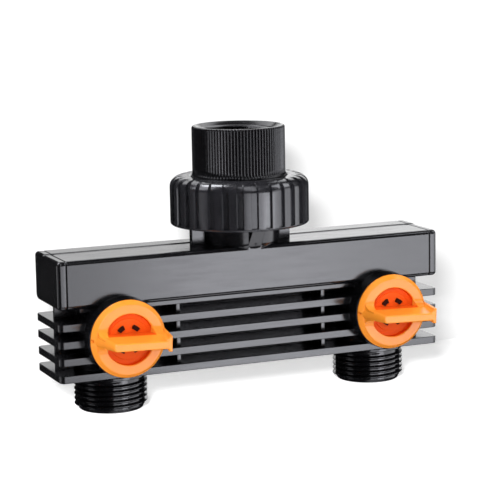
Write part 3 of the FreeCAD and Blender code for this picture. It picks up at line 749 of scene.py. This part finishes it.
class SPLITTER_OT_inlet(bpy.types.Operator):
    """Turn the ribbed inlet with its inside thread"""
    bl_idname = "splitter.inlet"
    bl_label = "Inlet"

    TOP = 98.8
    RIB_R = 16.93
    RIB_DEPTH = 0.5
    GROOVE_SHARE = 0.12              # of each rib and groove together
    WALL_SHARE = 0.34
    FLARE_H = 1.2
    FADE_H = 2.4
    RIM = ((0.0, 0.75), (0.18, 0.30), (0.45, 0.07), (0.75, 0.0))     # inset and drop round the top edge
    SHANK_R = 17.2
    SHANK_TOP = 81.0
    FLANGE_IN_R = 12.0
    FLANGE_R = 20.2
    FLANGE_TOP = 77.2
    FLANGE_BOTTOM = 74.5
    MOUTH_R = 15.6
    LEAD_IN = 1.4
    POCKET_R = 12.6                  # undercut that keeps the washer in
    POCKET_TOP = 88.1
    WASHER_FOOT = 83.9
    THROAT_R = 8.0
    THROAT_BOTTOM = 80.0
    THREAD_START = 89.2
    THREAD_TURNS = 4.6
    THREAD_RIDGE = ((0.15, -0.70), (0, -0.70), (-1.0, -0.17), (-1.16, 0.0), (-1.0, 0.17), (0, 0.70),
                    (0.15, 0.70), (0.15, -0.70))

    def rib_foot(self):
        """Where the ribs come in from the shank and their grooves deepen."""
        steps = 6
        points = []
        for i in range(steps + 1):
            share = i / steps
            flare = (self.SHANK_R - self.RIB_R) * (1 - min(1.0, share * self.FADE_H / self.FLARE_H)) ** 2
            points.append((self.RIB_R + flare, self.SHANK_TOP + self.FADE_H * share, 0))
        return points

    def floor(self, point):
        """Where a point of the outline goes at the middle of a groove between two ribs."""
        radius, height = point
        if height < self.SHANK_TOP or radius < self.MOUTH_R + 0.5:
            return point
        share = min(1.0, (height - self.SHANK_TOP) / self.FADE_H)
        crest = radius if share < 1 else self.RIB_R
        return (min(radius, crest - self.RIB_DEPTH * math.sin(math.pi / 2 * share)), height)

    def execute(self, context):
        sizes = context.scene.splitter_sizes
        corners = [(self.FLANGE_IN_R, self.FLANGE_BOTTOM, 0.1), (self.FLANGE_R, self.FLANGE_BOTTOM, 0.3),
                   (self.FLANGE_R, self.FLANGE_TOP, 0.3), (self.SHANK_R, self.FLANGE_TOP, 0),
                   (self.SHANK_R, self.SHANK_TOP - 0.05, 0)] + self.rib_foot()
        corners += [(self.RIB_R - inset, self.TOP - drop, 0) for inset, drop in self.RIM]
        corners += [(self.MOUTH_R, self.TOP, 0.15), (G34_CREST_R, self.TOP - self.LEAD_IN, 0.1),
                    (G34_CREST_R, self.POCKET_TOP + 0.5, 0), (self.POCKET_R, self.POCKET_TOP, 0),
                    (self.POCKET_R, self.WASHER_FOOT, 0), (self.THROAT_R, self.WASHER_FOOT, 0.2),
                    (self.THROAT_R, self.THROAT_BOTTOM, 0)]
        points = rounded_profile(corners)
        groove = [self.floor(p) for p in points]
        black = materials()["adaptor_black"]
        body = turn("inlet_tube", points, black, sizes.grip_ribs, sizes.rib_columns, groove,
                    self.GROOVE_SHARE, self.WALL_SHARE)
        turns = thread("inlet_thread_turns", self.THREAD_RIDGE, G34_CREST_R, self.THREAD_START,
                       self.THREAD_TURNS, black)
        ob = join([body, turns], "ribbed_inlet")
        shift(ob, Vector((0, 0, -SEAT_H * MM)))
        weigh_normals(ob, sharp_deg=50.0)
        dress(ob, black, "inlet", ["inlet_adaptor"])
        return {"FINISHED"}


class SPLITTER_OT_outlets(bpy.types.Operator):
    """Turn both outlets and run their threads"""
    bl_idname = "splitter.outlets"
    bl_label = "Outlets"

    BORE_R = 8.8
    BORE_TOP = 11.0
    LEAD_R = 11.7
    LEAD_H = 0.9
    COLLAR_R = 13.5
    COLLAR_BOTTOM = 12.1
    COLLAR_TOP = 13.2
    TENON_R = 11.5
    TENON_TOP = 17.2
    TENON_BORE_R = 6.0
    THREAD_START = 3.0 - G34_PITCH
    THREAD_TURNS = 5.75
    THREAD_RIDGE = ((-0.15, -0.70), (0, -0.70), (0.98, -0.2), (1.13, -0.08), (1.13, 0.08), (0.98, 0.2),
                    (0, 0.70), (-0.15, 0.70), (-0.15, -0.70))

    def execute(self, context):
        black = materials()["thread_black"]
        corners = [(self.BORE_R, 0, 0.3), (self.LEAD_R, 0, 0.8), (self.LEAD_R, self.LEAD_H, 0.05),
                   (G34_ROOT_R, self.LEAD_H + 0.4, 0), (G34_ROOT_R, self.COLLAR_BOTTOM, 0),
                   (self.COLLAR_R, self.COLLAR_BOTTOM, 0.2), (self.COLLAR_R, self.COLLAR_TOP, 0.2),
                   (self.TENON_R, self.COLLAR_TOP, 0), (self.TENON_R, self.TENON_TOP, 0.2),
                   (self.TENON_BORE_R, self.TENON_TOP, 0), (self.TENON_BORE_R, self.BORE_TOP, 0.2),
                   (self.BORE_R, self.BORE_TOP, 0)]
        for side, sign in SIDES.items():
            body = turn(f"outlet_tube_{side}", rounded_profile(corners), black)
            turns = thread(f"outlet_turns_{side}", self.THREAD_RIDGE, G34_ROOT_R, self.THREAD_START,
                           self.THREAD_TURNS, black)
            ob = join([body, turns], f"threaded_outlet_{side}")
            shift(ob, Vector((sign * OUTLET_X, 0, -SEAT_H)) * MM)
            weigh_normals(ob, sharp_deg=50.0)
            dress(ob, black, "manifold", [f"outlet_spigot_{side}"])
        return {"FINISHED"}


class SPLITTER_OT_knobs(bpy.types.Operator):
    """Build both dished knobs with their tall grips"""
    bl_idname = "splitter.knobs"
    bl_label = "Knobs"

    # Distances ahead of the outlet axes, with the knob facing up while it is made.
    DISC_BACK = 18.2
    SKIRT_R = 12.6
    RIM_R = 13.8
    RIM = (19.6, 20.4)               # back and front of the rim
    FACE = 22.0
    FACE_R = 12.45
    RECESS_R = 9.1
    FLOOR = 20.5
    GUTTER = (7.2, 20.1)             # radius and floor
    HUB_R = 6.6
    HUB = (15.1, 18.7)               # back, and just inside the disc
    SOCKET_R = 2.5
    ROOT = 19.9
    FRONT = 35.0
    GRIP_LEFT = (-12.95, -10.2)      # at the root and at the front
    GRIP_RIGHT = (13.7, 10.9)
    GRIP_HALF = (2.2, 1.4)
    GRIP_NOSE = 0.9
    GRIP_ROUND = 0.45
    GRIP_TURN_DEG = 2.0
    PLATE_ABOVE = 3.1
    PLATE_BELOW = 2.5
    PLATE_T = 1.1
    PLATE_ROUND = 0.25
    COVE_SHARE = 0.9                 # of the plate's reach past the blade
    COVE_LEAD = 2.0                  # last stretch of the blade's side before the cove
    FOOT_HALF = 4.6
    FOOT_RISE = 6.0
    FOOT_OVERLAP = 0.2               # into the blade
    FOOT_SINK = (0.03, 0.45)         # of the cove's end and of the underside, below the face
    FOOT_INSET = (0.02, 0.05)        # from the recess's edge and from the face's edge
    DIMPLE_R = 0.7
    DIMPLE_AT = 20.75
    DIMPLE_REACH = 1.6
    # How far the painted shade's mark in the recess reaches:
    PAINTED_SHADE_SLACK = (0.1, 0.2, 0.35)    # past the recess's edge, behind the gutter and behind the face
    WINDOWS = (54.0, 126.0, 234.0, 306.0)
    WINDOW_R = (3.75, 4.95)
    WINDOW_HALF_DEG = 17.0
    WINDOW_Z = (14.0, 21.5)          # from behind the hub to ahead of the floor
    ARC_STEPS = 6
    FINE_STEPS = 10

    def disc(self, material):
        rim_back, rim_front = self.RIM
        gutter_r, gutter_floor = self.GUTTER
        corners = [(0, self.DISC_BACK, 0), (self.SKIRT_R, self.DISC_BACK, 0.2),
                   (self.SKIRT_R, rim_back, 0.1), (self.RIM_R, rim_back, 0.25),
                   (self.RIM_R, rim_front, 0.45), (self.FACE_R, self.FACE, 0.5),
                   (self.RECESS_R, self.FACE, 0.4), (self.RECESS_R - 0.15, gutter_floor, 0.15),
                   (gutter_r + 0.1, gutter_floor, 0.1), (gutter_r, self.FLOOR, 0.1), (0, self.FLOOR, 0)]
        return turn("knob_disc", rounded_profile(corners, 4, closed=False), material, columns=128)

    def hub(self, material):
        back, front = self.HUB
        corners = [(self.SOCKET_R, back, 0), (self.HUB_R, back, 0.2), (self.HUB_R, front, 0),
                   (self.SOCKET_R, front, 0), (self.SOCKET_R, back, 0)]
        return turn("knob_hub", rounded_profile(corners, 3, closed=False), material, columns=64)

    def drafted(self, ends, share):
        """The value at a share of the way from the grip's root to its front."""
        return ends[0] + (ends[1] - ends[0]) * share

    def grip_section(self, forward, inset):
        """Blade, rounded left end and coved end plate in one outline at one distance forward."""
        share = (forward - self.ROOT) / (self.FRONT - self.ROOT)
        left = self.drafted(self.GRIP_LEFT, share) + inset
        right = self.drafted(self.GRIP_RIGHT, share)
        half = self.drafted(self.GRIP_HALF, share) - inset
        inner = right - self.PLATE_T + inset
        outer = right - inset
        nose = half * self.GRIP_NOSE
        corner = self.PLATE_ROUND * (1 - inset / self.PLATE_T)
        outline = []
        for sign, reach in ((-1, self.PLATE_BELOW - inset), (1, self.PLATE_ABOVE - inset)):
            cove = (reach - half) * self.COVE_SHARE
            side = arc((left + nose, half - nose), nose, 180, 90, self.ARC_STEPS)
            side.append((inner - cove - self.COVE_LEAD, half))
            side += arc((inner - cove, half + cove), cove, -90, 0, self.ARC_STEPS)
            side += arc((outer - corner, reach - corner), corner, 90, 0, self.ARC_STEPS)
            side = [(x, sign * y) for x, y in side]
            outline += side if sign < 0 else side[::-1]
        return [(x, y, forward) for x, y in outline]

    def grip(self):
        sections = [self.grip_section(self.drafted((self.ROOT, self.FRONT), share), 0.0)
                    for share in (0.0, 0.35, 0.7)]
        for x, y in arc((0, 0), self.GRIP_ROUND, 0, 90, self.ARC_STEPS):
            sections.append(self.grip_section(self.FRONT - self.GRIP_ROUND + y, self.GRIP_ROUND - x))
        return lofted("knob_grip", sections)

    def foot(self, sign):
        """A coved foot of the grip on the ring face."""
        lean = (self.GRIP_LEFT[1] - self.GRIP_LEFT[0]) / (self.FRONT - self.ROOT)
        run = self.FOOT_HALF - self.GRIP_HALF[1] - self.FOOT_OVERLAP
        profile = []
        for i in range(self.FINE_STEPS + 1):
            angle = math.pi / 2 * i / self.FINE_STEPS
            profile.append((self.FOOT_HALF - run * math.sin(angle),
                            self.FACE - self.FOOT_SINK[0] + self.FOOT_RISE * (1 - math.cos(angle))))
        low = self.FACE - self.FOOT_SINK[1]
        outline = [(self.FOOT_HALF, low)] + profile + [(-y, z) for y, z in reversed(profile)]
        outline.append((-self.FOOT_HALF, low))
        near_r = self.RECESS_R + self.FOOT_INSET[0]
        near = [(sign * math.sqrt(near_r ** 2 - y * y), y, z) for y, z in outline]
        far = []
        for y, z in outline:
            reach = self.FACE_R - self.FOOT_INSET[1] - max(0.0, z - self.FACE) * lean
            far.append((sign * math.sqrt(reach * reach - y * y), y, z))
        return lofted("knob_foot", [near, far])

    def cutter(self, middle_deg):
        """A sector prism that opens one window."""
        low, high = middle_deg - self.WINDOW_HALF_DEG, middle_deg + self.WINDOW_HALF_DEG
        inner, outer = (arc((0, 0), radius, low, high, self.FINE_STEPS) for radius in self.WINDOW_R)
        return lofted("window", [[(x, y, z) for x, y in inner + outer[::-1]] for z in self.WINDOW_Z])

    def dimple(self):
        """A short rod that leaves the pointer's dimple in the rim."""
        ring = arc((0, self.DIMPLE_AT), self.DIMPLE_R, 0, 360, 16)[:-1]
        return lofted("dimple", [[(x, y, z) for y, z in ring]
                                 for x in (-self.RIM_R - 1.0, -self.RIM_R + self.DIMPLE_REACH)])

    def mark_painted_shade(self, mesh):
        """Marks the faces down in the recess, where the material paints shade as a deeper orange."""
        past, behind_gutter, behind_face = self.PAINTED_SHADE_SLACK
        shade_mark = mesh.attributes.new("dish", "FLOAT", "FACE")
        for face in mesh.polygons:
            x, y, z = face.center / MM
            deep = self.GUTTER[1] - behind_gutter < z < self.FACE - behind_face
            shade_mark.data[face.index].value = float(deep and math.hypot(x, y) < self.RECESS_R + past)

    def execute(self, context):
        orange = materials()["knob_orange"]
        knob = combine(self.disc(orange), self.hub(orange), "UNION")
        for angle in self.WINDOWS:
            combine(knob, self.cutter(angle), "DIFFERENCE")
        turn_back = Matrix.Rotation(math.radians(-self.GRIP_TURN_DEG), 4, "Z")
        for extra, operation in ((self.grip(), "UNION"), (self.foot(-1), "UNION"),
                                 (self.foot(1), "UNION"), (self.dimple(), "DIFFERENCE")):
            extra.data.transform(turn_back)
            combine(knob, extra, operation)
        close_and_orient(knob.data)
        self.mark_painted_shade(knob.data)
        knob.data.transform(Matrix.Rotation(math.pi / 2, 4, "X"))
        for side, sign in SIDES.items():
            ob = add_object(f"grip_knob_{side}", knob.data.copy())
            shift(ob, Vector((sign * OUTLET_X, 0, VALVE_H - SEAT_H)) * MM)
            ob.data.materials.clear()
            weigh_normals(ob, sharp_deg=35.0)
            dress(ob, orange, f"valve_{side}", [f"knob_{side}"])
        bpy.data.objects.remove(knob)
        return {"FINISHED"}


class SPLITTER_OT_inner_pieces(bpy.types.Operator):
    """Dress the plugs, retainers, seats, rings, gasket and washer"""
    bl_idname = "splitter.inner_pieces"
    bl_label = "Inner Pieces"

    FINISHES = {"valve_plug": "plug", "valve_retainer": "plug", "plug_rings": "rubber",
                "outlet_seat": "rubber", "end_seal": "rubber", "union_gasket": "rubber",
                "inlet_washer": "washer"}

    def execute(self, context):
        for node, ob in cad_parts.items():
            for stem, finish_name in self.FINISHES.items():
                if node.startswith(stem):
                    ob.data.materials.clear()
                    ob.data.materials.append(materials()[finish_name])
        return {"FINISHED"}


# ---- stage ----

LAMP_AIM = Vector((0, 0, -0.04))     # the point that every lamp faces, from one metre away


def flat_panel(name, corners, material):
    mesh = bpy.data.meshes.new(name)
    mesh.from_pydata([Vector(c) for c in corners], [], [(0, 1, 2, 3)])
    mesh.materials.append(material)
    ob = add_object(name, mesh)
    return ob


def stage_white(name, share_back, glow, reach):
    """A pale matt surface, clear from behind, that keeps the object's shadow.

    What it adds for the camera goes from the first to the second glow between the two reaches, in metres.
    """
    material, tree, output = new_material(name)
    matt = add_node(tree, "ShaderNodeBsdfDiffuse", {"Color": (share_back, share_back, share_back, 1)})
    place = tree.nodes.new("ShaderNodeTexCoord").outputs["Object"]
    far = add_node(tree, "ShaderNodeVectorMath", {0: place}, operation="LENGTH").outputs["Value"]
    fade = add_node(tree, "ShaderNodeMapRange", {"Value": far, "From Min": reach[0], "From Max": reach[1],
                                                 "To Min": glow[0], "To Max": glow[1]})
    seen = tree.nodes.new("ShaderNodeLightPath").outputs["Is Camera Ray"]
    strength = add_node(tree, "ShaderNodeMath", {0: seen, 1: fade.outputs["Result"]}, operation="MULTIPLY")
    light = add_node(tree, "ShaderNodeEmission", {"Color": (1, 1, 1, 1),
                                                  "Strength": strength.outputs["Value"]})
    both = add_node(tree, "ShaderNodeAddShader", {0: matt.outputs["BSDF"], 1: light.outputs["Emission"]})
    behind = tree.nodes.new("ShaderNodeNewGeometry").outputs["Backfacing"]
    clear = tree.nodes.new("ShaderNodeBsdfTransparent").outputs["BSDF"]
    mix = add_node(tree, "ShaderNodeMixShader", {"Fac": behind, 1: both.outputs["Shader"], 2: clear})
    tree.links.new(mix.outputs["Shader"], output.inputs["Surface"])
    return material


def soft_panel(name, azimuth, elevation, width, height, radiance):
    """A rectangular lamp that faces the object; azimuth runs from the front, -Y, towards +X."""
    data = bpy.data.lights.new(name, "AREA")
    data.shape = "RECTANGLE"
    data.size, data.size_y = width, height
    data.energy = math.pi * width * height * radiance
    ob = bpy.data.objects.new(name, data)
    bpy.context.scene.collection.objects.link(ob)
    across, up = math.radians(azimuth), math.radians(elevation)
    out = Vector((math.sin(across) * math.cos(up), -math.cos(across) * math.cos(up), math.sin(up)))
    ob.location = LAMP_AIM + out
    ob.visible_camera = False
    ob.rotation_euler = (-out).to_track_quat("-Z", "Y").to_euler()
    return ob


def link_light(lamp, objects, state):
    """Lights only the given objects, or all but them."""
    group = bpy.data.collections.new(lamp.name + "_link")
    for ob in objects:
        group.objects.link(ob)
    for entry in group.collection_objects:
        entry.light_linking.link_state = state
    lamp.light_linking.receiver_collection = group


class SPLITTER_OT_stage(bpy.types.Operator):
    """Set up the pale floor, the backdrop, the soft lamps and the camera"""
    bl_idname = "splitter.stage"
    bl_label = "Stage"

    CAMERA_AT = (-0.27760, -0.65708, 0.08582)
    CAMERA_AIM = (0.003868, 0.0, -0.03359)
    ROLL_DEG = -0.994
    LENS = 142.3
    FLOOR_Z = -0.0862
    WALL_Y = 0.045
    FAR = 3.0
    FLOOR_BACK = 0.90                # share of light that the floor gives back
    WALL_BACK = 0.35
    GLOW = (0.62, 1.0)               # for the camera alone, near the object and far out
    GLOW_REACH = (0.35, 0.80)
    WORLD_LIGHT = 0.015
    # Name, azimuth and elevation in degrees, width and height in metres at 1 m, radiance.
    PANELS = (("front_right", 32.0, -10.0, 0.18, 0.36, 4.0),
              ("front_middle", 22.0, -10.0, 0.17, 0.36, 5.0),
              ("front_left", 2.0, -10.0, 0.53, 0.36, 2.2),
              ("right_low", 64.0, -3.0, 1.05, 0.62, 1.8),
              ("front_high", 0.0, 50.0, 0.35, 0.85, 1.9),
              ("right_high", 70.0, 40.0, 0.55, 0.50, 3.4),
              ("rear_high", 170.0, 45.0, 1.20, 0.50, 1.8),
              ("rear_right", 146.0, 14.0, 0.42, 0.40, 1.55),
              ("rear_left", 166.0, 12.0, 0.26, 0.40, 1.05),
              ("left_top", 240.0, 65.0, 0.35, 0.40, 12.0),
              ("left_high", 262.0, 40.0, 0.50, 0.50, 2.8),
              ("left_low", 270.0, -8.0, 0.40, 0.45, 0.5),
              ("under", 30.0, -65.0, 0.95, 0.50, 1.5))
    KNOB_LAMPS = (("knob_fill", 335.0, 25.0, 0.60, 0.50, 5.5),
                  ("knob_key", 322.0, 48.0, 0.16, 0.16, 10.0))
    BACK_LAMPS = (("rear_low_right", 147.0, -14.0, 1.10, 0.45, 1.3),
                  ("rear_low_left", 230.0, -14.0, 0.42, 0.45, 1.3))
    SHADOW_LAMPS = (("shadow_lamp", 331.0, 20.0, 0.14, 0.14, 250.0),)

    def backdrop(self):
        """The floor, its stretch behind the backdrop, and the backdrop."""
        floor_white = stage_white("floor_white", self.FLOOR_BACK, self.GLOW, self.GLOW_REACH)
        wall_white = stage_white("backdrop_white", self.WALL_BACK, self.GLOW, self.GLOW_REACH)
        front, foot, rear, top = ((-self.FAR, self.FLOOR_Z), (self.WALL_Y, self.FLOOR_Z),
                                  (self.FAR, self.FLOOR_Z), (self.WALL_Y, self.FAR))
        panels = []
        for name, near, far, material in (("floor", front, foot, floor_white),
                                          ("floor_rear", foot, rear, floor_white),
                                          ("backdrop", foot, top, wall_white)):
            panel = flat_panel(name, [(-self.FAR, *near), (self.FAR, *near), (self.FAR, *far),
                                      (-self.FAR, *far)], material)
            panel.visible_glossy = False
            panel.visible_shadow = False
            panels.append(panel)
        return panels

    def lamps(self, around):
        """The soft lamps, each kept to what it should light."""
        knobs = [bpy.data.objects[f"grip_knob_{side}"] for side in SIDES]
        bar = [bpy.data.objects[name] for name in ("manifold_moulding", "bar_cap_left", "bar_cap_right")]
        for table, objects, state in ((self.PANELS, around, "EXCLUDE"), (self.KNOB_LAMPS, knobs, "INCLUDE"),
                                      (self.BACK_LAMPS, bar, "INCLUDE"),
                                      (self.SHADOW_LAMPS, around, "INCLUDE")):
            for name, *sizes in table:
                link_light(soft_panel(name, *sizes), objects, state)

    def studio(self):
        """A world that shows white to the camera and adds a little light."""
        world = bpy.data.worlds.new("Studio")
        world.use_nodes = True
        tree = world.node_tree
        background = tree.nodes["Background"]
        background.inputs["Color"].default_value = (1, 1, 1, 1)
        seen = tree.nodes.new("ShaderNodeLightPath").outputs["Is Camera Ray"]
        strength = add_node(tree, "ShaderNodeMapRange", {"Value": seen, "To Min": self.WORLD_LIGHT,
                                                         "To Max": 1.0})
        tree.links.new(strength.outputs["Result"], background.inputs["Strength"])
        return world

    def camera(self):
        data = bpy.data.cameras.new("camera")
        data.sensor_width = 36.0
        data.lens = self.LENS
        data.clip_start = 0.01
        camera = bpy.data.objects.new("camera", data)
        bpy.context.scene.collection.objects.link(camera)
        place, aim = Vector(self.CAMERA_AT), Vector(self.CAMERA_AIM)
        camera.location = place
        camera.rotation_mode = "QUATERNION"
        look = (aim - place).to_track_quat("-Z", "Y")
        roll = Matrix.Rotation(math.radians(self.ROLL_DEG), 3, "Z").to_quaternion()
        camera.rotation_quaternion = look @ roll
        return camera

    def execute(self, context):
        self.lamps(self.backdrop())
        scene = context.scene
        scene.world = self.studio()
        scene.camera = self.camera()
        scene.view_settings.view_transform = "Standard"
        return {"FINISHED"}


# ---- panel and registration ----

STEPS = (SPLITTER_OT_manifold, SPLITTER_OT_end_caps, SPLITTER_OT_union_nut, SPLITTER_OT_inlet,
         SPLITTER_OT_outlets, SPLITTER_OT_knobs, SPLITTER_OT_inner_pieces, SPLITTER_OT_stage)


class SPLITTER_PT_panel(bpy.types.Panel):
    """Lists the splitter's settings and steps"""
    bl_idname = "SPLITTER_PT_panel"
    bl_label = "Hose Splitter"
    bl_space_type = "VIEW_3D"
    bl_region_type = "UI"
    bl_category = "Splitter"

    def draw(self, context):
        layout = self.layout
        for settings in (context.scene.splitter_sizes, context.scene.splitter_colours):
            for key in settings.bl_rna.properties.keys():
                if key not in ("rna_type", "name"):
                    layout.prop(settings, key)
        for step in STEPS:
            layout.operator(step.bl_idname)


CLASSES = (SplitterSizes, SplitterColours, *STEPS, SPLITTER_PT_panel)


def register():
    for cls in CLASSES:
        bpy.utils.register_class(cls)
    bpy.types.Scene.splitter_sizes = bpy.props.PointerProperty(type=SplitterSizes)
    bpy.types.Scene.splitter_colours = bpy.props.PointerProperty(type=SplitterColours)


def unregister():
    del bpy.types.Scene.splitter_colours
    del bpy.types.Scene.splitter_sizes
    for cls in reversed(CLASSES):
        bpy.utils.unregister_class(cls)


def main():
    register()
    for step in STEPS:
        group, action = step.bl_idname.split(".")
        getattr(getattr(bpy.ops, group), action)()


if __name__ == "__main__":
    main()
